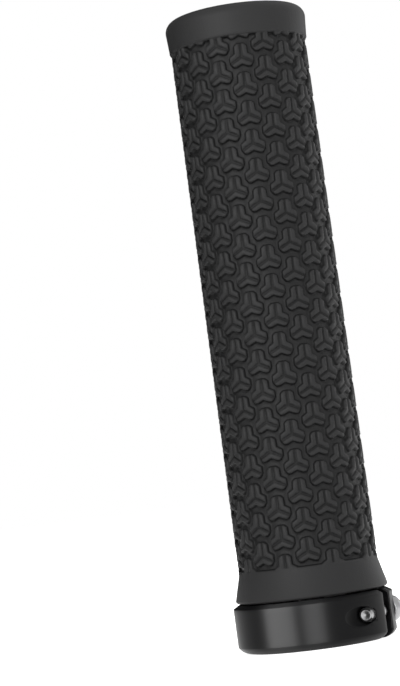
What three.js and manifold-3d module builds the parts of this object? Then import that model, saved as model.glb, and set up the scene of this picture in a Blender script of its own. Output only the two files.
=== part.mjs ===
// A bicycle handlebar grip of the kind that clamps on: a rubber sleeve with a moulded tread over a hard
// core, and a split clamp ring with one cross screw at the inner end. Millimetres. +Z runs along the bar
// from the ring's flat face to the outer end, +X goes out through the middle of the ring's slit, and +Y
// follows the screw from its tip to its head.
import * as THREE from 'three';
import { mergeVertices } from 'three/addons/utils/BufferGeometryUtils.js';
import Module from 'manifold-3d';

const wasm = await Module();
wasm.setup();

// Driving dimensions: the whole grip
const gripLength = 130;
const barDiameter = 22.2;
const barSlip = 0.1;
const seatGap = 0.3;
const turnSteps = 36;
const coreSteps = 18;
const roundSteps = 2;

// Driving dimensions: the clamp ring
const ringWall = 5.05;
const ringWidth = 9.85;
const ringFaceRoundWidth = 2.7;
const ringFaceRoundHeight = 1.5;
const ringShoulderWidth = 1.1;
const ringShoulderHeight = 0.67;
const ringBoreBevel = 0.4;
const slitWidth = 3;

// Driving dimensions: the cross screw and its seats in the ring
const screwDiameter = 3;
const screwSlip = 0.4;
const screwBoreWall = 0.8;
const screwSeatCover = 0.1;
const screwHeadDiameter = 5.5;
const screwHeadSlip = 0.6;
const screwHeadHeight = 3;
const screwHeadRound = 1.2;
const screwTipBevel = 0.45;
const screwSocketAcross = 2.5;
const screwSocketDepth = 1.6;
const screwTipReach = 0.9;
const tipPocketDiameter = 4;
const screwSteps = 12;

// Driving dimensions: the core
const coreWall = 0.9;
const coreFlangeWall = 1.5;
const coreFlangeThickness = 2.5;
const dogCount = 2;
const dogWidth = 5;
const dogDepth = 2;
const dogThickness = 1.7;

// Driving dimensions: the rubber sleeve's bands and ends
const sleeveGap = 0.35;
const lowerBandWidth = 6.3;
const lowerBandWall = 3.15;
const lowerEdgeRound = 0.6;
const upperBandLeast = 6.5;
const upperBandWall = 2.1;
const upperEdgeRound = 2.5;
const endWall = 3.7;

// Driving dimensions: the tread, whose pads stand in paired columns, every second one half a row lower
const treadLowerWall = 1.85;
const treadUpperWall = 1.55;
const treadDepth = 0.75;
const treadTurn = 6.4;
const columnPairs = 9;
const rowPitch = 5.84;
const channelWidth = 1.2;
const armWidth = 2.55;
const armReach = 3.05;
const armShown = 2.1;
const lobeSlope = 0.7;
const notchDepth = 0.4;
const cornerGap = 0.3;
const cornerLift = 0.3;
const padDraft = 0.3;
const pocketDip = 0.15;

// Radii and levels that follow from them
const boreRadius = barDiameter / 2 + barSlip / 2;
const ringRadius = boreRadius + ringWall;
const coreRadius = boreRadius + coreWall;
const coreStart = ringWidth + seatGap;
const flangeRadius = coreRadius + coreFlangeWall;
const sleeveStart = ringWidth + sleeveGap;
const sleeveBoreRadius = coreRadius + seatGap;
const lowerBandRadius = sleeveBoreRadius + lowerBandWall;
const upperBandRadius = sleeveBoreRadius + upperBandWall;
const treadLowerRadius = sleeveBoreRadius + treadLowerWall;
const treadUpperRadius = sleeveBoreRadius + treadUpperWall;
const treadStart = sleeveStart + lowerBandWidth;
const boreEnd = gripLength - endWall;
const coreEnd = boreEnd - seatGap;

// The screw crosses the middle of the ring's straight side, a wall away from the bore. Its seats go in
// until the hole between them is covered on the outside.
const screwHeight = (ringFaceRoundHeight + ringWidth - ringShoulderHeight) / 2;
const screwHoleRadius = (screwDiameter + screwSlip) / 2;
const screwAxisRadius = boreRadius + screwBoreWall + screwHoleRadius;
const screwCover = screwAxisRadius + screwHoleRadius + screwSeatCover;
const seatDepth = Math.sqrt(ringRadius ** 2 - screwCover ** 2);

// The pad's outline is measured from the point where its three arms meet
const columns = 2 * columnPairs;
const treadRadius = (treadLowerRadius + treadUpperRadius) / 2;
const columnPitch = 2 * Math.PI * treadRadius / columns;
const cornerLevel = armReach - rowPitch + channelWidth + cornerLift;
const lobeLevel = cornerLevel + rowPitch / 2 - channelWidth;
const lobeReach = columnPitch - armWidth / 2 - channelWidth;

// At the channel floor the pad spreads by its draft, and its side runs straight from lobe to arm. The
// next column's corner stays a gap away from that side.
const footArm = [armWidth / 2 + padDraft, armReach + padDraft];
const footLobe = [lobeReach + padDraft, lobeLevel];
const sideAt = (level) =>
  THREE.MathUtils.mapLinear(level, footLobe[1], footArm[1], footLobe[0], footArm[0]);
const footCornerLevel = cornerLevel - padDraft;
const footCornerReach = columnPitch - sideAt(footCornerLevel + rowPitch / 2) - cornerGap;
const footSide = [[footCornerReach, footCornerLevel], footLobe, footArm];

const padNotch = [0, cornerLevel + notchDepth];
const padSide = [
  [footCornerReach - padDraft, cornerLevel],
  [lobeReach, lobeLevel],
  [armWidth / 2, lobeLevel + lobeSlope],
  [armWidth / 2, armReach],
];

// The lower band cuts the low columns through their widest points; the rows then count upwards
const lowRowStart = treadStart - lobeLevel;
const treadRise = rowPitch + armShown - lobeLevel;
const rows = Math.floor((gripLength - upperBandLeast - treadStart - treadRise) / rowPitch) + 1;
const treadEnd = lowRowStart + rows * rowPitch + armShown;

// Closed meshes are joined and cut as solids
function toSolid(geometry) {
  const bare = geometry.clone();
  bare.deleteAttribute('normal');
  bare.deleteAttribute('uv');
  const merged = mergeVertices(bare, 1e-4);
  return new wasm.Manifold(new wasm.Mesh({
    numProp: 3,
    vertProperties: Float32Array.from(merged.attributes.position.array),
    triVerts: Uint32Array.from(merged.index.array),
  }));
}

function toGeometry(solid) {
  const mesh = solid.getMesh();
  const geometry = new THREE.BufferGeometry();
  geometry.setAttribute('position', new THREE.BufferAttribute(Float32Array.from(mesh.vertProperties), 3));
  geometry.setIndex(Array.from(mesh.triVerts));
  geometry.computeVertexNormals();
  return geometry;
}

function cut(body, ...tools) {
  const solid = tools.reduce((left, tool) => left.subtract(toSolid(tool)), toSolid(body));
  return toGeometry(solid);
}

function join(body, ...others) {
  const solid = others.reduce((left, other) => left.add(toSolid(other)), toSolid(body));
  return toGeometry(solid);
}

// Turns a closed outline of [radius, height] points about the Z axis
function turned(outline, steps) {
  const points = outline.map(([radius, height]) => new THREE.Vector2(radius, height));
  points.push(points[0].clone());
  return new THREE.LatheGeometry(points, steps).rotateX(Math.PI / 2).rotateZ(Math.PI / 2);
}

// A quarter round about its own [radius, height] centre, as wide across the radius as it is high or not
function quarterRound(centre, width, height, startAngle) {
  return Array.from({ length: roundSteps + 1 }, (_, step) => {
    const angle = startAngle + step / roundSteps * Math.PI / 2;
    return [centre[0] + width * Math.cos(angle), centre[1] + height * Math.sin(angle)];
  });
}

// A rod along the screw's axis between two places on it
function rodAlongScrew(radius, from, to) {
  return new THREE.CylinderGeometry(radius, radius, to - from, screwSteps)
    .translate(screwAxisRadius, (from + to) / 2, screwHeight);
}

// Outer radius of the sleeve at a height, from the lower band's edge to the upper band's edge
const bandCorners = [
  [sleeveStart, lowerBandRadius],
  [sleeveStart + lowerEdgeRound, lowerBandRadius],
  [treadStart, treadLowerRadius],
  [treadEnd, treadUpperRadius],
  [gripLength - upperEdgeRound, upperBandRadius],
  [gripLength, upperBandRadius],
];

function sleeveRadius(height) {
  const next = bandCorners.findIndex(([level], place) => place > 0 && height <= level);
  const [lowLevel, lowRadius] = bandCorners[next - 1];
  const [highLevel, highRadius] = bandCorners[next];
  return THREE.MathUtils.mapLinear(height, lowLevel, highLevel, lowRadius, highRadius);
}

// The rubber sleeve, as one skin of shared points. Each point keeps its place on the unrolled tread,
// where x is the distance round at the tread's mean radius.
function rubberSleeve() {
  const positions = [];
  const faces = [];

  const addPoint = (x, height, radius) => {
    const angle = x / treadRadius;
    positions.push(radius * Math.cos(angle), radius * Math.sin(angle), height);
    return { x, height, index: positions.length / 3 - 1 };
  };
  const crestPoint = (x, height) => addPoint(x, height, sleeveRadius(height));
  const floorPoint = (x, height) => addPoint(x, height, sleeveRadius(height) - treadDepth);
  const addFace = (a, b, c) => faces.push(a.index, b.index, c.index);
  const place = (point) => new THREE.Vector3().fromArray(positions, 3 * point.index);
  const span = (a, b) => place(a).distanceTo(place(b));

  // Splits a four-sided patch along its shorter diagonal
  const addPatch = (a, b, c, d) => {
    if (span(a, c) < span(b, d)) {
      addFace(a, b, c);
      addFace(a, c, d);
    } else {
      addFace(a, b, d);
      addFace(b, c, d);
    }
  };

  // Fills a counter-clockwise outline on the unrolled tread. Its straight edges are bent a hair for
  // that, because the triangulation may leave out a point that lies on a line.
  const fill = (outline) => {
    const bend = 1e-4;
    const flat = outline.map(({ x, height }) =>
      new THREE.Vector2(x + bend * height * height, height + bend * x * x));
    for (const [a, b, c] of THREE.ShapeUtils.triangulateShape(flat, [])) {
      addFace(outline[a], outline[b], outline[c]);
    }
  };

  // Joins a crest to its foot, going along whichever makes the shorter diagonal
  const addWall = (crest, foot) => {
    let onCrest = 0;
    let onFoot = 0;
    while (onCrest + 1 < crest.length || onFoot + 1 < foot.length) {
      const crestLeft = onCrest + 1 < crest.length;
      const footLeft = onFoot + 1 < foot.length;
      const alongCrest = crestLeft ? span(crest[onCrest + 1], foot[onFoot]) : Infinity;
      const alongFoot = footLeft ? span(crest[onCrest], foot[onFoot + 1]) : Infinity;
      if (alongCrest <= alongFoot) {
        addFace(foot[onFoot], crest[onCrest + 1], crest[onCrest]);
        onCrest += 1;
      } else {
        addFace(foot[onFoot], foot[onFoot + 1], crest[onCrest]);
        onFoot += 1;
      }
    }
  };

  const left = (side) => side.map(([x, height]) => [-x, height]).reverse();
  const around = (point) => ({ ...point, x: point.x + columns * columnPitch });

  // Keeps the part of a side below a level, ending on that level
  const trimmed = (side, level) => {
    const kept = side.filter(([, height]) => height < level);
    const [x, height] = kept.at(-1);
    const [nextX, nextHeight] = side[kept.length];
    return [...kept, [THREE.MathUtils.mapLinear(level, height, nextHeight, x, nextX), level]];
  };

  // One column: a pad cut by the upper band, whole pads, and what rises from the lower band
  const makeColumn = (order) => {
    const x = (order + 0.5) * columnPitch;
    const isLow = order % 2 === 1;
    const firstRow = lowRowStart + (isLow ? 0 : rowPitch / 2);
    const at = (maker, outline, row) =>
      outline.map(([across, up]) => maker(x + across, firstRow + row * rowPitch + up));

    const cutLevel = treadEnd - firstRow - rows * rowPitch;
    const crestCut = trimmed(padSide, cutLevel);
    const footCut = trimmed(footSide, cutLevel);
    const upper = {
      crest: at(crestPoint, [...left(crestCut), padNotch, ...crestCut], rows),
      foot: at(floorPoint, [...left(footCut), ...footCut], rows),
    };

    const whole = [];
    for (let row = rows - 1; row >= (isLow ? 1 : 0); row -= 1) {
      whole.push({
        crest: at(crestPoint, [padNotch, ...padSide, ...left(padSide)], row),
        foot: at(floorPoint, [...footSide, ...left(footSide)], row),
      });
    }

    const rising = padSide.slice(1);
    const risingFoot = footSide.slice(1);
    const pocket = [[padSide[0][0], treadStart - pocketDip - firstRow]];
    const crestRise = isLow ? rising : pocket;
    const footRise = isLow ? risingFoot : pocket;
    const lower = {
      crest: at(crestPoint, [...crestRise, ...left(crestRise)], 0),
      foot: at(floorPoint, [...footRise, ...left(footRise)], 0),
    };
    return { upper, whole, lower };
  };

  // The floor beside a column, listed from the top down, on its right or its left side
  const floorSide = (column, isRight) => {
    const { upper, whole, lower } = column;
    const half = (points, startsAtTop) => {
      const middle = points.length / 2;
      const first = points.slice(0, middle);
      const second = points.slice(middle).reverse();
      return startsAtTop ? (isRight ? second : first) : (isRight ? first.reverse() : second.reverse());
    };
    return [
      ...half(upper.foot, true),
      ...whole.flatMap(({ foot }) => half(foot, false)),
      ...half(lower.foot, false),
    ];
  };

  const all = Array.from({ length: columns }, (_, order) => makeColumn(order));
  all.forEach((column, order) => {
    const { upper, whole, lower } = column;
    const next = all[(order + 1) % columns];
    const shift = order + 1 === columns ? around : (point) => point;

    // Pads: the top face, and the wall down to the channel floor
    whole.forEach(({ crest, foot }) => {
      fill(crest);
      addWall([...crest, crest[0]], [...foot, foot[0]]);
    });

    // The bands' edges, on to the next column
    const nextUpper = shift(next.upper.crest[0]);
    addWall([...upper.crest, nextUpper], [...upper.foot, shift(next.upper.foot[0])]);
    const nextLower = shift(next.lower.crest.at(-1));
    addWall([nextLower, ...lower.crest], [shift(next.lower.foot.at(-1)), ...lower.foot]);

    // The floor between this column's pads, and between it and the next column
    const stops = [upper.foot, ...whole.map(({ foot }) => foot), lower.foot];
    stops.slice(1).forEach((below, step) => {
      const above = stops[step];
      const count = above.length;
      const [aboveLeft, aboveRight] = step === 0
        ? [above[count / 2 - 1], above[count / 2]]
        : [above[count - 1], above[0]];
      const belowRight = below[below.length / 2 - 1];
      const belowLeft = below[below.length / 2];
      addPatch(belowLeft, belowRight, aboveRight, aboveLeft);
    });
    fill([...floorSide(column, true), ...floorSide(next, false).map(shift).reverse()]);
  });

  // The bands and the bore are turned from rings of points
  const stepsPerColumn = turnSteps / columns;
  const makeRing = ([radius, height, steps]) => {
    if (radius === 0) {
      return [addPoint(0, height, 0)];
    }
    const ring = Array.from({ length: steps }, (_, step) =>
      addPoint(step * columns * columnPitch / steps, height, radius));
    return [...ring, around(ring[0])];
  };
  // Joins two rings of any number of points, going round whichever lags behind
  const joinRings = (upper, lower) => {
    let onUpper = 0;
    let onLower = 0;
    while (onUpper + 1 < upper.length || onLower + 1 < lower.length) {
      const upperTurn = (onUpper + 1) / (upper.length - 1);
      const lowerTurn = (onLower + 1) / (lower.length - 1);
      if (upperTurn <= lowerTurn) {
        addFace(lower[onLower], upper[onUpper + 1], upper[onUpper]);
        onUpper += 1;
      } else {
        addFace(lower[onLower], lower[onLower + 1], upper[onUpper]);
        onLower += 1;
      }
    }
  };
  const revolve = (outline) => {
    const rings = outline.map(makeRing);
    rings.slice(1).forEach((ring, step) => joinRings(rings[step], ring));
    return rings;
  };
  const fine = (outline) => outline.map((corner) => [...corner, turnSteps]);
  const coarse = (outline) => outline.map((corner) => [...corner, coreSteps]);

  // The closed outer end, rounded over, down to the start of the upper band
  const upperCentre = [upperBandRadius - upperEdgeRound, gripLength - upperEdgeRound];
  const outerEnd = revolve(fine([
    [0, gripLength],
    ...quarterRound(upperCentre, upperEdgeRound, upperEdgeRound, 0).reverse(),
  ]));
  // The lower band's edge, the face over the flange, and the bore up to its closed end
  const flangeSeat = coreStart + coreFlangeThickness + seatGap;
  const innerEnd = revolve([
    ...fine([
      [lowerBandRadius, sleeveStart + lowerEdgeRound],
      [lowerBandRadius - lowerEdgeRound, sleeveStart],
    ]),
    ...coarse([
      [flangeRadius + seatGap, sleeveStart],
      [flangeRadius + seatGap, flangeSeat],
      [sleeveBoreRadius, flangeSeat],
      [sleeveBoreRadius, boreEnd],
      [0, boreEnd],
    ]),
  ]);

  // The bands run from the tread's edge chains to the rings
  const upperRing = outerEnd.at(-1);
  const lowerRing = innerEnd[0];
  all.forEach(({ upper, lower }, order) => {
    const next = all[(order + 1) % columns];
    const shift = order + 1 === columns ? around : (point) => point;
    const steps = [order * stepsPerColumn, (order + 1) * stepsPerColumn + 1];
    fill([...upper.crest, shift(next.upper.crest[0]), ...upperRing.slice(...steps).reverse()]);
    fill([shift(next.lower.crest.at(-1)), ...lower.crest, ...lowerRing.slice(...steps)]);
  });

  const geometry = new THREE.BufferGeometry();
  geometry.setAttribute('position', new THREE.Float32BufferAttribute(positions, 3));
  geometry.setIndex(faces);
  geometry.rotateZ(THREE.MathUtils.degToRad(treadTurn));
  geometry.computeVertexNormals();
  return geometry;
}

// Block round one of the dogs that key the core to the ring
function dogBlock(order, clearance, bottom, top) {
  const inner = boreRadius - dogThickness;
  const outer = boreRadius + dogThickness + clearance;
  const angle = (order + 0.5) / dogCount * 2 * Math.PI;
  return new THREE.BoxGeometry(outer - inner, dogWidth + 2 * clearance, top - bottom)
    .translate((inner + outer) / 2, 0, (bottom + top) / 2)
    .rotateZ(angle);
}

const dogs = Array.from({ length: dogCount }, (_, order) => order);

// The hard core: a tube with a flange at its inner end, and dogs below it that turn with the ring
function innerCore() {
  const rod = turned([
    [0, coreStart],
    [flangeRadius, coreStart],
    [flangeRadius, coreStart + coreFlangeThickness],
    [coreRadius, coreStart + coreFlangeThickness],
    [coreRadius, coreEnd],
    [0, coreEnd],
  ], coreSteps);
  const blocks = dogs.map((order) =>
    dogBlock(order, 0, coreStart - dogDepth, coreStart + coreFlangeThickness / 2));
  const barHole = turned([
    [0, -gripLength],
    [boreRadius, -gripLength],
    [boreRadius, 2 * gripLength],
    [0, 2 * gripLength],
  ], turnSteps);
  return cut(join(rod, ...blocks), barHole);
}

// The clamp ring: turned, slit, drilled and counterbored for its screw, and notched for the dogs
function clampRing() {
  const faceCentre = [ringRadius - ringFaceRoundWidth, ringFaceRoundHeight];
  const blank = turned([
    [boreRadius + ringBoreBevel, 0],
    ...quarterRound(faceCentre, ringFaceRoundWidth, ringFaceRoundHeight, -Math.PI / 2),
    [ringRadius, ringWidth - ringShoulderHeight],
    [ringRadius - ringShoulderWidth, ringWidth],
    [boreRadius, ringWidth],
    [boreRadius, ringBoreBevel],
  ], turnSteps);
  const slit = new THREE.BoxGeometry(2 * ringRadius, slitWidth, 3 * ringWidth)
    .translate(ringRadius, 0, ringWidth / 2);
  const shankHole = rodAlongScrew(screwHoleRadius, -ringRadius, ringRadius);
  const headSeat = rodAlongScrew((screwHeadDiameter + screwHeadSlip) / 2, seatDepth, ringRadius);
  const tipPocket = rodAlongScrew(tipPocketDiameter / 2, -ringRadius, -seatDepth);
  const notches = dogs.map((order) =>
    dogBlock(order, seatGap, ringWidth - dogDepth, 2 * ringWidth));
  return cut(blank, slit, shankHole, headSeat, tipPocket, ...notches);
}

// The cross screw: rounded head with a hexagon socket, shank and bevelled tip
function clampScrew() {
  const tip = -seatDepth - screwTipReach;
  const underHead = seatDepth + seatGap;
  const headTop = underHead + screwHeadHeight;
  const headCentre = [screwHeadDiameter / 2 - screwHeadRound, headTop - screwHeadRound];
  const outline = [
    [0, tip],
    [screwDiameter / 2 - screwTipBevel, tip],
    [screwDiameter / 2, tip + screwTipBevel],
    [screwDiameter / 2, underHead],
    [screwHeadDiameter / 2, underHead],
    ...quarterRound(headCentre, screwHeadRound, screwHeadRound, 0),
    [0, headTop],
  ];
  const points = outline.map(([radius, level]) => new THREE.Vector2(radius, level));
  const body = new THREE.LatheGeometry(points, screwSteps);
  const socketRadius = screwSocketAcross / Math.sqrt(3);
  const socket = new THREE.CylinderGeometry(socketRadius, socketRadius, 2 * screwSocketDepth, 6)
    .translate(0, headTop, 0);
  return cut(body, socket).translate(screwAxisRadius, 0, screwHeight);
}

function piece(name, geometry, color, roughness, metalness) {
  const material = new THREE.MeshStandardMaterial({ color, roughness, metalness });
  const mesh = new THREE.Mesh(geometry, material);
  mesh.name = name;
  return mesh;
}

const grip = new THREE.Group();
grip.add(
  piece('rubber_sleeve', rubberSleeve(), 0x2b2b2b, 0.75, 0),
  piece('inner_core', innerCore(), 0x141414, 0.5, 0),
  piece('clamp_ring', clampRing(), 0x101012, 0.2, 1),
  piece('clamp_screw', clampScrew(), 0xc4c4c6, 0.25, 1),
);

export default grip;
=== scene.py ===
import bpy
import numpy as np
from mathutils import Matrix, Vector


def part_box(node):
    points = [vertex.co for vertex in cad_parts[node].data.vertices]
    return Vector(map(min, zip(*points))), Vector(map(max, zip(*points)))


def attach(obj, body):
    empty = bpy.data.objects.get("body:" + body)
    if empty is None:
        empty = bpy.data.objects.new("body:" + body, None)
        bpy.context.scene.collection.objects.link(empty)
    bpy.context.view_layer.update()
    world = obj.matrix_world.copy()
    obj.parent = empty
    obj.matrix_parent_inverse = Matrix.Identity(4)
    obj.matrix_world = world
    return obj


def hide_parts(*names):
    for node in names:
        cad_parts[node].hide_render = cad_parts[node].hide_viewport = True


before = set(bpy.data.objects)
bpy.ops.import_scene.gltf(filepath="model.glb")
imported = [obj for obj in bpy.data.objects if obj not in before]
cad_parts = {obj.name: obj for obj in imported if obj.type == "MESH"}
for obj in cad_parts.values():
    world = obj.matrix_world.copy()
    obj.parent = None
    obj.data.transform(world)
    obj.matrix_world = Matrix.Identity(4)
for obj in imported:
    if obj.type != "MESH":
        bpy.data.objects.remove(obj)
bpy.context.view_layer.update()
mm = 0.001


# The camera looks at the middle of the grip from a little below it and past the slit's near side. It
# is rolled, so that the grip leans in the picture, and panned to put it right of the middle.
picture_height = 686
focal_pixels = 2292.7
camera_distance = 468.9 * mm
camera_azimuth = np.radians(24.856)
camera_elevation = np.radians(-3.619)
camera_roll = np.radians(7.6845)
camera_pan = np.radians(-1.9327)
camera_tilt = np.radians(0.1374)
camera_target = Vector((0, 0, 65 * mm))

camera_back = Vector((
    np.sin(camera_azimuth) * np.cos(camera_elevation),
    -np.cos(camera_azimuth) * np.cos(camera_elevation),
    np.sin(camera_elevation),
))
camera_right = Vector((np.cos(camera_azimuth), np.sin(camera_azimuth), 0))
camera_up = camera_back.cross(camera_right)
camera_axes = Matrix((camera_right, camera_up, camera_back)).transposed()
camera_turn = (
    Matrix.Rotation(camera_roll, 3, "Z")
    @ Matrix.Rotation(camera_tilt, 3, "X")
    @ Matrix.Rotation(camera_pan, 3, "Y")
)


def new_object(name, data):
    """An object for a camera, a mesh or a light, put in the scene."""
    thing = bpy.data.objects.new(name, data)
    bpy.context.scene.collection.objects.link(thing)
    return thing


camera = new_object("camera", bpy.data.cameras.new("camera"))
camera.matrix_world = Matrix.LocRotScale(
    camera_target + camera_back * camera_distance,
    (camera_axes @ camera_turn.transposed()).to_quaternion(),
    None,
)
camera.data.sensor_width = 36
camera.data.lens = focal_pixels / picture_height * camera.data.sensor_width
camera.data.clip_start = 0.01
camera.data.clip_end = 20
bpy.context.scene.camera = camera


# The rubber sleeve is moulded in one: a closed outer end with a plain band, a tread of three-armed
# pads, and a flared band over the core's flange. The pads stand in eighteen columns, every second one
# half a row lower, and each has a groove along the middle of its arms.
sleeve_low, sleeve_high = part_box("rubber_sleeve")
grip_end = sleeve_high.z
sleeve_start = sleeve_low.z
column_count = 18
tread_turn = np.radians(16.4)
row_pitch = 5.84 * mm
tread_low_radius = 14.2 * mm
tread_high_radius = 13.92 * mm
tread_depth = 0.75 * mm
lower_band_edge = sleeve_start + 6.25 * mm
lower_band_radius = 15.5 * mm
lower_edge_round = 0.55 * mm
upper_band_edge = grip_end - 6.7 * mm
upper_band_low_radius = 14.2 * mm
upper_band_radius = 14.47 * mm
upper_edge_round = 2.25 * mm
tread_radius = (tread_low_radius + tread_high_radius) / 2
column_pitch = 2 * np.pi * tread_radius / column_count
high_row_start = sleeve_start + 8.8 * mm

# Half a pad's outline, less the round of its corners, as places across and up in mm
corner_round = 0.25 * mm
pad_corners = {
    "end of the arm": (0, 2.85),
    "corner of the arm": (0.62, 2.8),
    "side of the arm": (0.97, 2.5),
    "root of the arm": (1.02, 0.98),
    "shoulder of the lobe": (2.13, 0.33),
    "side of the lobe": (2.13, -0.5),
    "heel of the lobe": (1.66, -1.15),
    "toe of the lobe": (1.3, -1.15),
    "top of the notch": (0, -0.6),
}
pad_outline = mm * np.array(list(pad_corners.values()))
pad_middle = 0.85 * mm
far_away = 1.0
edge_round = 0.1 * mm
wall_draft = 0.34 * mm
groove_junction = 0.45 * mm
groove_reach = 3.2 * mm
groove_slope = np.radians(28)
groove_half_width = 0.47 * mm
groove_wall = 0.3 * mm
groove_depth = 0.34 * mm


def segment_distance(x, y, start, end):
    """Distance to a straight segment: the point is dropped onto it and clamped between its ends."""
    run_x, run_y = end[0] - start[0], end[1] - start[1]
    along = ((x - start[0]) * run_x + (y - start[1]) * run_y) / (run_x**2 + run_y**2)
    along = np.clip(along, 0, 1)
    return np.hypot(x - start[0] - along * run_x, y - start[1] - along * run_y)


def smooth_step(value):
    """An S curve from 0 to 1, level at both ends: 3 t squared less 2 t cubed."""
    t = np.clip(value, 0, 1)
    return t * t * (3 - 2 * t)


def pad_distance(across, up):
    """Distance outside a pad's rounded outline, negative inside it. The half outline is met by the
    point's mirrored place, and a point is inside if an odd number of edges lie beyond it."""
    across = np.abs(across)
    distance = np.full_like(across, far_away)
    inside = np.zeros(across.shape, bool)
    for start, end in zip(pad_outline[:-1], pad_outline[1:]):
        distance = np.minimum(distance, segment_distance(across, up, start, end))
        if start[1] != end[1]:
            beside = (up - start[1]) / (end[1] - start[1])
            crossed = (beside >= 0) & (beside < 1)
            inside ^= crossed & (across < start[0] + beside * (end[0] - start[0]))
    return np.where(inside, -distance, distance) - corner_round


def groove_distance(across, up):
    """Distance to the middle of a pad's groove: up its arm, and down each lobe from their junction."""
    across = np.abs(across)
    junction = (0, groove_junction)
    arm_end = (0, groove_junction + 2 * groove_reach)
    lobe_end = (groove_reach, groove_junction - groove_reach * np.tan(groove_slope))
    arm = segment_distance(across, up, junction, arm_end)
    lobe = segment_distance(across, up, junction, lobe_end)
    return np.minimum(arm, lobe)


def nearest_pad(turn, height, order_shift):
    """Place of each point beside the nearest pad of the column that is order_shift from its own. Its
    column and its row are whole numbers, from its turn and its height by the columns' and rows' pitch."""
    order = np.round((turn - tread_turn) / (2 * np.pi / column_count)) + order_shift
    across = (turn - tread_turn) * tread_radius - order * column_pitch
    row_start = high_row_start - np.where(order % 2 == 1, row_pitch / 2, 0)
    row = np.round((height - row_start - pad_middle) / row_pitch)
    return across, height - row_start - row * row_pitch


def tread_drop(turn, height):
    """How far the tread lies below its crest. The pads' distances and the bands' are joined by their
    least one, and an S curve takes it from the crest over the edge and down the drafted wall."""
    turn, height = np.broadcast_arrays(turn, height)
    own = nearest_pad(turn, height, 0)
    side = np.where(own[0] > 0, 1, -1)
    beside = nearest_pad(turn, height, side)
    outline = np.minimum(pad_distance(*own), pad_distance(*beside))
    beside_groove = np.where(pad_distance(*beside) < 0, groove_distance(*beside), far_away)
    groove = np.minimum(groove_distance(*own), beside_groove)
    in_tread = smooth_step((height - lower_band_edge) / groove_wall)
    in_tread *= smooth_step((upper_band_edge - height) / groove_wall)
    outline = np.minimum(outline, height - lower_band_edge)
    outline = np.minimum(outline, upper_band_edge - height)
    wall = tread_depth * smooth_step((outline + edge_round) / (edge_round + wall_draft))
    cut = groove_depth * smooth_step((groove_half_width - groove) / groove_wall) * in_tread
    return np.maximum(wall, cut)


def arc(centre, size, start, end, count):
    """Points of a round between two angles in degrees: its centre, plus its size times the cosine and
    the sine of each angle."""
    angle = np.radians(np.linspace(start, end, count))
    return np.stack([centre[0] + size * np.cos(angle), centre[1] + size * np.sin(angle)], axis=1)


def line(start, end, count):
    """Evenly spaced points from one place to another, the last one left out."""
    return np.linspace(start, end, count, endpoint=False)


def full_turn(count):
    """Evenly spaced turns of a whole circle, 2 pi, the last one left out."""
    return np.linspace(0, 2 * np.pi, count, endpoint=False)


def about_grip(radius, turn, height):
    """Places about the grip's axis: the radius times the cosine and the sine of the turn, at a height."""
    radius, turn, height = np.broadcast_arrays(radius, turn, height)
    return np.stack([radius * np.cos(turn), radius * np.sin(turn), height], axis=-1)


def grid_mesh(name, points, pole_start=False, pole_end=False, closed=False, flip=False):
    """A mesh over a grid of points that closes on itself across its columns. A pole draws its row
    together into one point, and joins the next row to it with triangles. Closed rows go back to the
    first one, and a flip turns the faces round."""
    rows, columns = points.shape[:2]
    index = np.arange(rows * columns).reshape(rows, columns)
    if closed:
        index = np.concatenate([index, index[:1]])
        rows += 1
    if pole_start:
        index[0] = index[0, 0]
    if pole_end:
        index[-1] = index[-1, 0]
    right = np.roll(index, -1, axis=1)
    quads = np.stack([index[:-1], right[:-1], right[1:], index[1:]], axis=-1)
    first = 1 if pole_start else 0
    last = rows - 2 if pole_end else rows - 1
    faces = quads[first:last].reshape(-1, 4)
    triangles = []
    if pole_start:
        triangles.append(quads[0][:, [0, 2, 3]])
    if pole_end:
        triangles.append(quads[-1][:, [0, 1, 2]])
    triangles = np.concatenate(triangles) if triangles else np.zeros((0, 3), int)
    if flip:
        faces, triangles = faces[:, ::-1], triangles[:, ::-1]
    corners = np.concatenate([faces.ravel(), triangles.ravel()])
    sizes = np.concatenate([np.full(len(faces), 4), np.full(len(triangles), 3)])
    used, corners = np.unique(corners, return_inverse=True)
    places = points.reshape(-1, 3)[used]

    mesh = bpy.data.meshes.new(name)
    mesh.vertices.add(len(places))
    mesh.vertices.foreach_set("co", places.ravel())
    mesh.loops.add(len(corners))
    mesh.loops.foreach_set("vertex_index", corners.astype(np.int32).ravel())
    mesh.polygons.add(len(sizes))
    mesh.polygons.foreach_set("loop_start", (np.cumsum(sizes) - sizes).astype(np.int32))
    mesh.polygons.foreach_set("use_smooth", np.ones(len(sizes), bool))
    mesh.update(calc_edges=True)
    mesh.validate()
    return mesh


def new_piece(name, mesh, material):
    """An object for a mesh, with its material, riding on the one body."""
    piece = new_object(name, mesh)
    mesh.materials.append(material)
    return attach(piece, "root")


def settle(piece):
    """Puts the result of a piece's modifiers into its mesh."""
    shaped = piece.evaluated_get(bpy.context.evaluated_depsgraph_get())
    mesh = bpy.data.meshes.new_from_object(shaped)
    piece.modifiers.clear()
    piece.data = mesh


core_low, core_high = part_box("inner_core")
fit_gap = 0.3 * mm
core_radius = 12.05 * mm
flange_radius = 13.55 * mm
flange_end = core_low.z + 4.5 * mm
sleeve_bore = core_radius + fit_gap
flange_seat_radius = flange_radius + fit_gap
flange_seat_end = flange_end + fit_gap
bore_end = core_high.z + fit_gap
row_steps = 45
column_steps = 38
band_step_start = 0.1 * mm
band_step_width = 0.3 * mm
kept_faces = 0.15

upper_centre = (upper_band_radius - upper_edge_round, grip_end - upper_edge_round)
lower_centre = (lower_band_radius - lower_edge_round, sleeve_start + lower_edge_round)
edge_margin = 0.6 * mm

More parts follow.
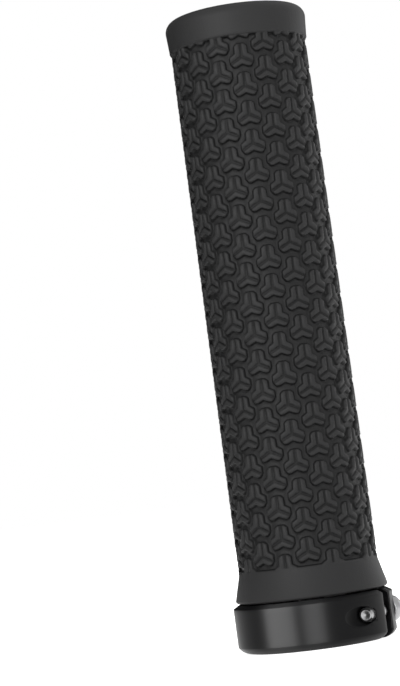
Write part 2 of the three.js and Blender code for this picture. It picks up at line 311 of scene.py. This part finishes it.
# The profile runs from the middle of the closed end down the outside, and back up the bore. Each
# stretch ends with its number of steps.
band_low = (upper_band_low_radius, upper_band_edge + edge_margin)
band_high = (tread_low_radius, lower_band_edge - edge_margin)
tread_rows = int((band_low[1] - band_high[1]) / row_pitch * row_steps)
sleeve_profile = np.concatenate([
    line((0, grip_end), (upper_centre[0], grip_end), 8),
    arc(upper_centre, upper_edge_round, 90, 0, 14)[:-1],
    line((upper_band_radius, upper_centre[1]), band_low, 8),
    line(band_low, band_high, tread_rows),
    line(band_high, (lower_band_radius, lower_centre[1]), 12),
    arc(lower_centre, lower_edge_round, 0, -90, 8),
    line((lower_centre[0], sleeve_start), (flange_seat_radius, sleeve_start), 3)[1:],
    line((flange_seat_radius, sleeve_start), (flange_seat_radius, flange_seat_end), 3),
    line((flange_seat_radius, flange_seat_end), (sleeve_bore, flange_seat_end), 2),
    line((sleeve_bore, flange_seat_end), (sleeve_bore, bore_end), 12),
    line((sleeve_bore, bore_end), (0, bore_end), 3),
    [(0, bore_end)],
])

sleeve_turns = full_turn(column_count * column_steps)
profile_radius = sleeve_profile[:, :1]
profile_height = sleeve_profile[:, 1:]
in_rows = (profile_radius > flange_seat_radius) & (profile_height >= band_high[1])
in_rows &= profile_height < upper_band_edge + edge_margin
crest_levels = [lower_band_edge, upper_band_edge]
crest = np.interp(profile_height, crest_levels, [tread_low_radius, tread_high_radius])
band_step = smooth_step((profile_height - upper_band_edge + band_step_start) / band_step_width)
profile_radius = np.where(in_rows, crest + (upper_band_low_radius - crest) * band_step, profile_radius)
drop = np.where(in_rows, tread_drop(sleeve_turns[None, :], profile_height), 0)
sleeve_points = about_grip(profile_radius - drop, sleeve_turns, profile_height)


def shader(name, colour, roughness, **values):
    """A material, and its surface shader with values that are the same all over."""
    material = bpy.data.materials.new(name)
    material.use_nodes = True
    surface = material.node_tree.nodes["Principled BSDF"]
    surface.inputs["Base Color"].default_value = (*colour, 1)
    surface.inputs["Roughness"].default_value = roughness
    for socket, value in values.items():
        surface.inputs[socket].default_value = value
    return material, surface


def add_bump(material, surface, scale, detail, height):
    """Raises and lowers a surface by noise in its own coordinates, by a height in metres."""
    nodes, links = material.node_tree.nodes, material.node_tree.links
    place = nodes.new("ShaderNodeTexCoord")
    noise = nodes.new("ShaderNodeTexNoise")
    noise.inputs["Scale"].default_value = scale
    noise.inputs["Detail"].default_value = detail
    bump = nodes.new("ShaderNodeBump")
    bump.inputs["Distance"].default_value = height
    bump.inputs["Strength"].default_value = 1.0
    links.new(place.outputs["Object"], noise.inputs["Vector"])
    links.new(noise.outputs["Fac"], bump.inputs["Height"])
    links.new(bump.outputs["Normal"], surface.inputs["Normal"])


top_colour = (0.027, 0.027, 0.0273)
# The wall and floor colours are painted shade: darker rubber where the tread's walls, grooves and
# channels lie in shade.
wall_painted_shade = (0.008, 0.008, 0.0081)
floor_painted_shade = (0.018, 0.018, 0.0182)
dull_sheen = {"Specular IOR Level": 0.1}
sleeve_rubber, rubber_surface = shader("sleeve_rubber", top_colour, roughness=0.5, **dull_sheen)
add_bump(sleeve_rubber, rubber_surface, scale=2600, detail=3, height=0.03 * mm)

# The rubber's colour is darkened with its depth below the pads' tops, as painted shade: most on the walls
# and in the grooves, and less on the channels' floor. The bands and the closed end keep the colour of the
# tops. The depths where a colour holds are shares of the tread's own.
top_hold = 0.18
wall_holds = (0.52, 0.85)
floor_hold = 1.0
rubber_nodes, rubber_links = sleeve_rubber.node_tree.nodes, sleeve_rubber.node_tree.links


def rubber_math(operation, *values):
    """A sum on the rubber's nodes. Each value is a socket or a number."""
    node = rubber_nodes.new("ShaderNodeMath")
    node.operation = operation
    for socket, value in zip(node.inputs, values):
        if isinstance(value, bpy.types.NodeSocket):
            rubber_links.new(value, socket)
        else:
            socket.default_value = value
    return node.outputs[0]


rubber_place = rubber_nodes.new("ShaderNodeSeparateXYZ")
rubber_links.new(rubber_nodes.new("ShaderNodeTexCoord").outputs["Object"], rubber_place.inputs[0])
place_x, place_y, place_z = rubber_place.outputs
square_x = rubber_math("MULTIPLY", place_x, place_x)
square_y = rubber_math("MULTIPLY", place_y, place_y)
place_radius = rubber_math("POWER", rubber_math("ADD", square_x, square_y), 0.5)
taper = (tread_high_radius - tread_low_radius) / (upper_band_edge - lower_band_edge)
crest_at_zero = tread_low_radius - taper * lower_band_edge
crest_here = rubber_math("MULTIPLY_ADD", place_z, taper, crest_at_zero)
depth_share = rubber_math("DIVIDE", rubber_math("SUBTRACT", crest_here, place_radius), tread_depth)
below_band = rubber_math("LESS_THAN", place_z, upper_band_edge)
# A ramp paints this shade into the base colour by the depth below the crest.
rubber_painted_shade = rubber_nodes.new("ShaderNodeValToRGB")
rubber_links.new(rubber_math("MULTIPLY", depth_share, below_band), rubber_painted_shade.inputs[0])
rubber_links.new(rubber_painted_shade.outputs["Color"], rubber_surface.inputs["Base Color"])
painted_shade_steps = rubber_painted_shade.color_ramp.elements
painted_shade_steps[0].position = top_hold
painted_shade_steps[0].color = (*top_colour, 1)
painted_shade_steps[1].position = floor_hold
painted_shade_steps[1].color = (*floor_painted_shade, 1)
for position in wall_holds:
    painted_shade_steps.new(position).color = (*wall_painted_shade, 1)

sleeve_mesh = grid_mesh("sleeve", sleeve_points, pole_start=True, pole_end=True, flip=True)
sleeve = new_piece("sleeve", sleeve_mesh, sleeve_rubber)
thinned = sleeve.modifiers.new("thinned", "DECIMATE")
thinned.ratio = kept_faces
settle(sleeve)
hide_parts("rubber_sleeve")


# The hard core is a moulded tube that slides over the bar. Its flange fills the start of the sleeve,
# and its two dogs reach down into the ring and keep the sleeve from turning.
bar_bore = 11.15 * mm
core_start = core_low.z + 2 * mm
core_end = core_high.z
dog_half_width = 2.5 * mm
dog_radius = 12.85 * mm
core_edge = 0.15 * mm
core_steps = 720
core_black = (0.012, 0.012, 0.012)

core_profile = np.concatenate([
    line((bar_bore, core_start), (dog_radius, core_start), 4),
    line((dog_radius, core_start), (flange_radius - core_edge, core_start), 3),
    arc((flange_radius - core_edge, core_start + core_edge), core_edge, -90, 0, 4)[:-1],
    line((flange_radius, core_start + core_edge), (flange_radius, flange_end), 3),
    line((flange_radius, flange_end), (core_radius, flange_end), 3),
    line((core_radius, flange_end), (core_radius, core_end), 12),
    line((core_radius, core_end), (bar_bore, core_end), 2),
    line((bar_bore, core_end), (bar_bore, core_start), 12),
])
core_turns = full_turn(core_steps)
core_radii = core_profile[:, :1]
in_dog = np.abs(core_radii * np.cos(core_turns)) < dog_half_width
in_dog &= (core_profile[:, 1:] <= core_start) & (core_radii < dog_radius)
core_points = about_grip(core_radii, core_turns, np.where(in_dog, core_low.z, core_profile[:, 1:]))

core_plastic, core_surface = shader("core_plastic", core_black, roughness=0.5)
add_bump(core_plastic, core_surface, scale=1500, detail=2, height=0.01 * mm)
core = new_piece("core", grid_mesh("core", core_points, closed=True), core_plastic)
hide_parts("inner_core")


# The clamp ring is turned from aluminium bar, slit, drilled across the slit for its screw, and
# anodised a glossy black. Its outer face is rounded over and its shoulder has a fine bevel.
ring_low, ring_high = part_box("clamp_ring")
ring_width = ring_high.z - ring_low.z
ring_bore = bar_bore
ring_radius = 16.2 * mm
face_round_width = 2.7 * mm
face_round_height = 1.43 * mm
face_round_end = -25
shoulder_width = 1.1 * mm
shoulder_height = 0.67 * mm
ring_edge = 0.06 * mm
bore_bevel = 0.35 * mm
slit_half = 1.5 * mm
slit_edge_round = 0.2 * mm
face_steps = 9
slit_round_steps = 5
sweep_steps = 145
anodised_black = (0.0025, 0.0025, 0.0028)


def eased(corners, ease, counts):
    """A closed outline with each corner cut back by an ease along both its sides, with a point between
    at a quarter of the two cuts' sum, and each side split into a number of steps."""
    before = np.roll(corners, 1, axis=0)
    after = np.roll(corners, -1, axis=0)
    to_before = (before - corners) / np.linalg.norm(before - corners, axis=1, keepdims=True)
    to_after = (after - corners) / np.linalg.norm(after - corners, axis=1, keepdims=True)
    arrive = corners + ease * to_before
    middle = corners + ease * (to_before + to_after) / 4
    leave = corners + ease * to_after
    sides = [
        np.concatenate([[middle[n]], line(leave[n], arrive[(n + 1) % len(corners)], count)])
        for n, count in enumerate(counts)
    ]
    ends = [arrive[(n + 1) % len(corners)] for n in range(len(corners))]
    return np.concatenate([np.concatenate([side, [end]]) for side, end in zip(sides, ends)])


def ring_section():
    """The ring's closed section, as radius and height. Its rounded face is part of an ellipse, half
    its width times the cosine and half its height times the sine, that meets the wall at an angle."""
    end = np.radians(face_round_end)
    half_wide = face_round_width / np.cos(end)
    half_high = face_round_height / (1 + np.sin(end))
    angle = np.radians(np.linspace(-90, face_round_end, face_steps))
    face = np.stack([
        ring_radius - face_round_width + half_wide * np.cos(angle),
        half_high * (1 + np.sin(angle)),
    ], axis=1)
    corners = np.concatenate([
        [(ring_bore, bore_bevel), (ring_bore + bore_bevel, 0)],
        face,
        [
            (ring_radius, ring_width - shoulder_height),
            (ring_radius - shoulder_width, ring_width),
            (ring_bore, ring_width),
        ],
    ])
    bevel_and_face = [1, 3]
    rounded_face = [1] * (face_steps - 1)
    wall_shoulder_top_bore = [10, 2, 4, 8]
    return eased(corners, ring_edge, bevel_and_face + rounded_face + wall_shoulder_top_bore)


# The section sweeps from one side of the slit round to the other. At each end it draws in by the
# slit's edge round, and then to a pole in the middle of the cut face.
section = ring_section()
section_middle = (section.max(axis=0) + section.min(axis=0)) / 2
section_half = (section.max(axis=0) - section.min(axis=0)) / 2
round_angle = np.radians(np.linspace(0, 90, slit_round_steps))
inset = slit_edge_round * (1 - np.sin(round_angle))
setback = slit_edge_round * (1 - np.cos(round_angle))
start_inset = np.concatenate([[section_half.min()], inset])
start_gap = np.concatenate([[0], setback])
sweep = np.linspace(0, 1, sweep_steps)[1:-1]
ring_inset = np.concatenate([start_inset, np.zeros(len(sweep)), start_inset[::-1]])
ring_gap = np.concatenate([start_gap, np.full(len(sweep), slit_edge_round), start_gap[::-1]])
ring_share = np.concatenate([np.zeros(len(start_gap)), sweep, np.ones(len(start_gap))])

shrink = 1 - ring_inset[:, None, None] / section_half
shrink[[0, -1]] = 0
ring_profile = section_middle + (section - section_middle) * shrink
slit_turn = np.arcsin((slit_half + ring_gap[:, None]) / ring_profile[:, :, 0])
ring_turn = slit_turn + ring_share[:, None] * (2 * np.pi - 2 * slit_turn)
ring_points = about_grip(ring_profile[:, :, 0], ring_turn, ring_profile[:, :, 1])

# The turning marks run round the ring and draw its gloss out into lines
turning_marks = {"Anisotropic": 0.9, "Anisotropic Rotation": 0.25}
ring_anodised, ring_surface = shader(
    "ring_anodised", anodised_black, roughness=0.45, IOR=1.23, **turning_marks
)
add_bump(ring_anodised, ring_surface, scale=900, detail=2, height=0.002 * mm)
ring = new_piece("ring", grid_mesh("ring", ring_points, pole_start=True, pole_end=True), ring_anodised)

# The seats of the screw's head and tip, the hole between them, and the notches of the core's dogs
screw_low, screw_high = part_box("clamp_screw")
screw_x = (screw_low.x + screw_high.x) / 2
screw_z = (screw_low.z + screw_high.z) / 2
screw_radius = 1.5 * mm
head_height = 3 * mm
under_head = screw_high.y - head_height
seat_depth = under_head - fit_gap
seat_flare = 0.12 * mm
seat_steps = 96
least_flare = 0.02 * mm
mouth_flares = 3
past_ring = 25 * mm
tip_seat_radius = 2 * mm
head_seat_radius = 3.05 * mm
shank_hole_radius = 1.7 * mm
shank_hole_steps = 49
hole_overrun = 1 * mm
notch_top = 1.0


def screw_places(radii, along, turn):
    """Places about the screw's axis: its own place, plus the radius times the sine and the cosine of
    the turn, at a place along it."""
    return np.stack([
        screw_x + radii * np.sin(turn),
        np.broadcast_to(along, radii.shape),
        screw_z + radii * np.cos(turn),
    ], axis=-1)


def screw_points(profile, count):
    """A profile of radius and place along the screw, turned about the screw's axis."""
    return screw_places(profile[:, :1] * np.ones(count), profile[:, 1:], full_turn(count))


def box_points(low, high):
    """A box between two corners, as rings of four points with a pole in its floor and its lid."""
    across = np.array([(0, 0), (-1, -1), (1, -1), (1, 1), (-1, 1)])
    middle, half = (np.add(low, high) / 2)[:2], (np.subtract(high, low) / 2)[:2]
    ring_of_four = middle + half * across[1:]
    pole = np.broadcast_to(middle, (4, 2))
    levels = (low[2], low[2], high[2], high[2])
    layers = (pole, ring_of_four, ring_of_four, pole)
    return np.stack([np.column_stack([layer, np.full(4, level)]) for layer, level in zip(layers, levels)])


def cut_away(piece, name, points, flip=False):
    """Cuts a closed shape out of a piece."""
    cutter = new_object(name, grid_mesh(name, points, pole_start=True, pole_end=True, flip=flip))
    cut = piece.modifiers.new(name, "BOOLEAN")
    cut.object = cutter
    cut.solver = "EXACT"
    return cutter


def seat_points(radius, side):
    """A round seat whose mouth flares. The ring's wall lies at the square root of its radius squared
    less the distance from the slit's middle squared, and the flare starts below it, crosses it that
    much further out, and goes on outside."""
    turn = full_turn(seat_steps)
    reach = radius + np.array([[0], [1]]) * seat_flare
    beside = screw_x + reach * np.sin(turn)
    wall = np.sqrt(np.maximum(ring_radius**2 - beside**2, 0))
    low = np.maximum(wall[0] - seat_flare, seat_depth + least_flare)
    high = np.maximum(wall[1], low)
    outside = low + mouth_flares * (high - low)
    flat = np.ones_like(turn)
    mouth = (radius + mouth_flares * seat_flare) * flat
    radii = np.stack([0 * flat, radius * flat, radius * flat, mouth, 0 * flat])
    along = np.stack([seat_depth * flat, seat_depth * flat, low, outside, past_ring * flat])
    return screw_places(radii, side * along, turn)


hole_end = -seat_depth - hole_overrun
shank_hole = np.array([(0, hole_end), (shank_hole_radius, hole_end)])
shank_hole = np.concatenate([shank_hole, shank_hole[::-1] * (1, -1)])
notch_low = (-fit_gap - dog_half_width, -dog_radius - fit_gap, core_low.z - fit_gap)
notch_high = (fit_gap + dog_half_width, dog_radius + fit_gap, notch_top)
cutters = [
    cut_away(ring, "tip_pocket", seat_points(tip_seat_radius, -1), flip=True),
    cut_away(ring, "head_seat", seat_points(head_seat_radius, 1)),
    cut_away(ring, "shank_hole", screw_points(shank_hole, shank_hole_steps)),
    cut_away(ring, "notches", box_points(notch_low, notch_high)),
]
settle(ring)
for cutter in cutters:
    bpy.data.objects.remove(cutter)
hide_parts("clamp_ring")


# The cross screw is plated steel: a threaded shank with a bevelled tip and a rounded head with a
# hexagon socket. It pulls the two sides of the slit together.
screw_tip = screw_low.y
screw_end = screw_high.y
head_radius = 2.75 * mm
head_round = 1.3 * mm
under_round = 1.0 * mm
socket_half = 1.25 * mm
socket_depth = 1.6 * mm
socket_bevel = 0.08 * mm
socket_cone = 0.3 * mm
tip_bevel = 0.45 * mm
tip_cup_radius = 0.95 * mm
tip_cup_depth = 0.35 * mm
thread_pitch = 0.5 * mm
thread_depth = 0.28 * mm
thread_start = screw_tip + 0.1 * mm
thread_end = under_head - 0.6 * mm
screw_steps = 96
plated_grey = (0.32, 0.32, 0.324)

shank_profile = np.concatenate([
    line((0, screw_tip + tip_cup_depth), (tip_cup_radius, screw_tip), 4),
    line((tip_cup_radius, screw_tip), (screw_radius - tip_bevel, screw_tip), 2),
    line((screw_radius - tip_bevel, screw_tip), (screw_radius, screw_tip + tip_bevel), 3),
    line((screw_radius, screw_tip + tip_bevel), (screw_radius, under_head), 200),
    line((screw_radius, under_head), (head_radius - under_round, under_head), 4),
    arc((head_radius - under_round, under_head + under_round), under_round, -90, 0, 8)[:-1],
    line((head_radius, under_head + under_round), (head_radius, screw_end - head_round), 3),
    arc((head_radius - head_round, screw_end - head_round), head_round, 0, 90, 12),
])
socket_profile = np.array([
    (socket_half + socket_bevel, screw_end),
    (socket_half, screw_end - socket_bevel),
    (socket_half, screw_end - socket_depth),
    (0, screw_end - socket_depth - socket_cone),
])
screw_profile = np.concatenate([shank_profile, socket_profile])
screw_grid = screw_points(screw_profile, screw_steps)
screw_turn = full_turn(screw_steps)

# The thread winds down the shank as a wave of its pitch. The socket's wall is a hexagon: its radius
# is divided by the cosine of the turn from the middle of each side.
along_screw = screw_profile[:, 1:]
in_thread = (along_screw > thread_start) & (along_screw < thread_end)
in_thread &= screw_profile[:, :1] > screw_radius - tip_bevel
wave = np.abs((along_screw / thread_pitch - screw_turn / (2 * np.pi)) % 1 - 0.5) * 2
thread_scale = 1 - in_thread * wave * thread_depth / screw_radius
in_socket = np.arange(len(screw_profile))[:, None] >= len(shank_profile)
hexagon = 1 / np.cos((screw_turn + np.pi / 6) % (np.pi / 3) - np.pi / 6)
screw_scale = np.where(in_socket, hexagon, thread_scale)
screw_grid[:, :, 0] = screw_x + (screw_grid[:, :, 0] - screw_x) * screw_scale
screw_grid[:, :, 2] = screw_z + (screw_grid[:, :, 2] - screw_z) * screw_scale

screw_steel, steel_surface = shader("screw_steel", plated_grey, roughness=0.3, Metallic=1.0)
add_bump(screw_steel, steel_surface, scale=2000, detail=2, height=0.004 * mm)
screw = new_piece("screw", grid_mesh("screw", screw_grid, pole_start=True, pole_end=True), screw_steel)
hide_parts("clamp_screw")


# The floor is a plain pale sheet. To the eye it adds enough white to lose its own edge, and it keeps
# the shadow that the grip throws on it.
floor_half = 3.0
floor_glow = 0.91
paper_grey = (0.8, 0.8, 0.8)
floor_corners = [(x * floor_half, y * floor_half, 0) for x, y in ((-1, -1), (1, -1), (1, 1), (-1, 1))]
floor_mesh = bpy.data.meshes.new("floor")
floor_mesh.from_pydata(floor_corners, [], [(0, 1, 2, 3)])
floor = new_object("floor", floor_mesh)
no_sheen = {"Specular IOR Level": 0}
floor_paper, paper_surface = shader("floor_paper", paper_grey, roughness=0.9, **no_sheen)
floor_mesh.materials.append(floor_paper)


def seen_rays(tree):
    """1 for what the camera sees, straight or through gloss and glass, and 0 for light that falls."""
    rays = tree.nodes.new("ShaderNodeLightPath")
    total = rays.outputs["Is Camera Ray"]
    for name in ("Is Glossy Ray", "Is Transmission Ray"):
        most = tree.nodes.new("ShaderNodeMath")
        most.operation = "MAXIMUM"
        tree.links.new(total, most.inputs[0])
        tree.links.new(rays.outputs[name], most.inputs[1])
        total = most.outputs[0]
    return total


paper_tree = floor_paper.node_tree
paper_glow = paper_tree.nodes.new("ShaderNodeEmission")
paper_sum = paper_tree.nodes.new("ShaderNodeAddShader")
glow_share = paper_tree.nodes.new("ShaderNodeMath")
glow_share.operation = "MULTIPLY"
glow_share.inputs[1].default_value = floor_glow
paper_tree.links.new(seen_rays(paper_tree), glow_share.inputs[0])
paper_tree.links.new(glow_share.outputs[0], paper_glow.inputs["Strength"])
paper_tree.links.new(paper_surface.outputs[0], paper_sum.inputs[0])
paper_tree.links.new(paper_glow.outputs[0], paper_sum.inputs[1])
paper_tree.links.new(paper_sum.outputs[0], paper_tree.nodes["Material Output"].inputs["Surface"])

# The room is white to the eye, and gives an even, weak light
room_glow = 0.12
room_white = 1.0
room = bpy.data.worlds.new("room")
bpy.context.scene.world = room
room.use_nodes = True
room_tree = room.node_tree
room_light = room_tree.nodes["Background"]
room_light.inputs["Color"].default_value = (1, 1, 1, 1)
room_strength = room_tree.nodes.new("ShaderNodeMapRange")
room_strength.inputs["To Min"].default_value = room_glow
room_strength.inputs["To Max"].default_value = room_white
room_tree.links.new(seen_rays(room_tree), room_strength.inputs["Value"])
room_tree.links.new(room_strength.outputs["Result"], room_light.inputs["Strength"])


# Three soft lamps light the grip from the front, the right and behind, and gloss doesn't show them. A
# narrow one on the right is seen in gloss too, and picks out that edge. Each card is seen only in the
# gloss of one piece, and a dark flag behind on the left only in gloss.
lamp_distance = 0.6


def from_camera(degrees_right):
    """A level direction, turned about the grip from the camera's side: the sine of the turn along X,
    and its cosine the other way along Y."""
    angle = camera_azimuth + np.radians(degrees_right)
    return Vector((np.sin(angle), -np.cos(angle), 0))


def soft_light(name, degrees_right, distance, height, width, tall, brightness):
    """An area light that faces the grip. Its energy is pi times its area times its brightness, which
    makes it look that many times as bright as white."""
    light = new_object(name, bpy.data.lights.new(name, "AREA"))
    light.location = from_camera(degrees_right) * distance + Vector((0, 0, height))
    light.rotation_mode = "QUATERNION"
    light.rotation_quaternion = (light.location - camera_target).to_track_quat("Z", "Y")
    light.data.shape = "RECTANGLE"
    light.data.size = width
    light.data.size_y = tall
    light.data.energy = brightness * np.pi * width * tall
    return light


def plain_lamp(name, degrees_right, height, width, tall, brightness):
    """A soft light at the lamps' distance, which gloss doesn't show."""
    light = soft_light(name, degrees_right, lamp_distance, height, width, tall, brightness)
    light.visible_glossy = False


def gloss_card(name, lit, degrees_right, distance, height, width, tall, brightness):
    """A soft light that is seen only in the gloss of one piece."""
    light = soft_light(name, degrees_right, distance, height, width, tall, brightness)
    light.visible_diffuse = False
    only = bpy.data.collections.new(name)
    only.objects.link(lit)
    light.light_linking.receiver_collection = only


plain_lamp("front_light", -2, height=0.5, width=0.12, tall=0.12, brightness=122.0)
plain_lamp("right_light", 118, height=0.2, width=0.1, tall=0.4, brightness=17.0)
plain_lamp("back_light", 205, height=0.3, width=0.2, tall=0.2, brightness=25.0)
soft_light("right_edge", 125, lamp_distance, height=0.1, width=0.1, tall=0.4, brightness=2.0)
gloss_card("left_card", ring, -52, lamp_distance, height=0.12, width=0.5, tall=0.2, brightness=56.0)
gloss_card("front_card", ring, -2, distance=0.7, height=0.12, width=0.36, tall=0.2, brightness=46.0)
gloss_card("sheen_card", sleeve, -28, lamp_distance, height=0.25, width=0.45, tall=0.3, brightness=6.5)
gloss_card("screw_card", screw, -16, lamp_distance, height=0.1, width=0.3, tall=0.2, brightness=1.0)

flag_distance = 0.2
flag_height = 0.3
flag_half_width = 0.35
flag_half_height = 0.3
flag_black = (0.01, 0.01, 0.01)
flag_direction = from_camera(-145)
flag = new_object("flag", floor_mesh.copy())
flag.location = flag_direction * flag_distance + Vector((0, 0, flag_height))
flag.rotation_mode = "QUATERNION"
flag.rotation_quaternion = flag_direction.to_track_quat("Z", "Y")
flag.scale = (flag_half_width / floor_half, flag_half_height / floor_half, 1)
flag_cloth = shader("flag_cloth", flag_black, roughness=0.9, **no_sheen)[0]
flag.data.materials.clear()
flag.data.materials.append(flag_cloth)
flag.visible_camera = False
flag.visible_diffuse = False
flag.visible_shadow = False

bpy.context.scene.view_settings.view_transform = "Standard"
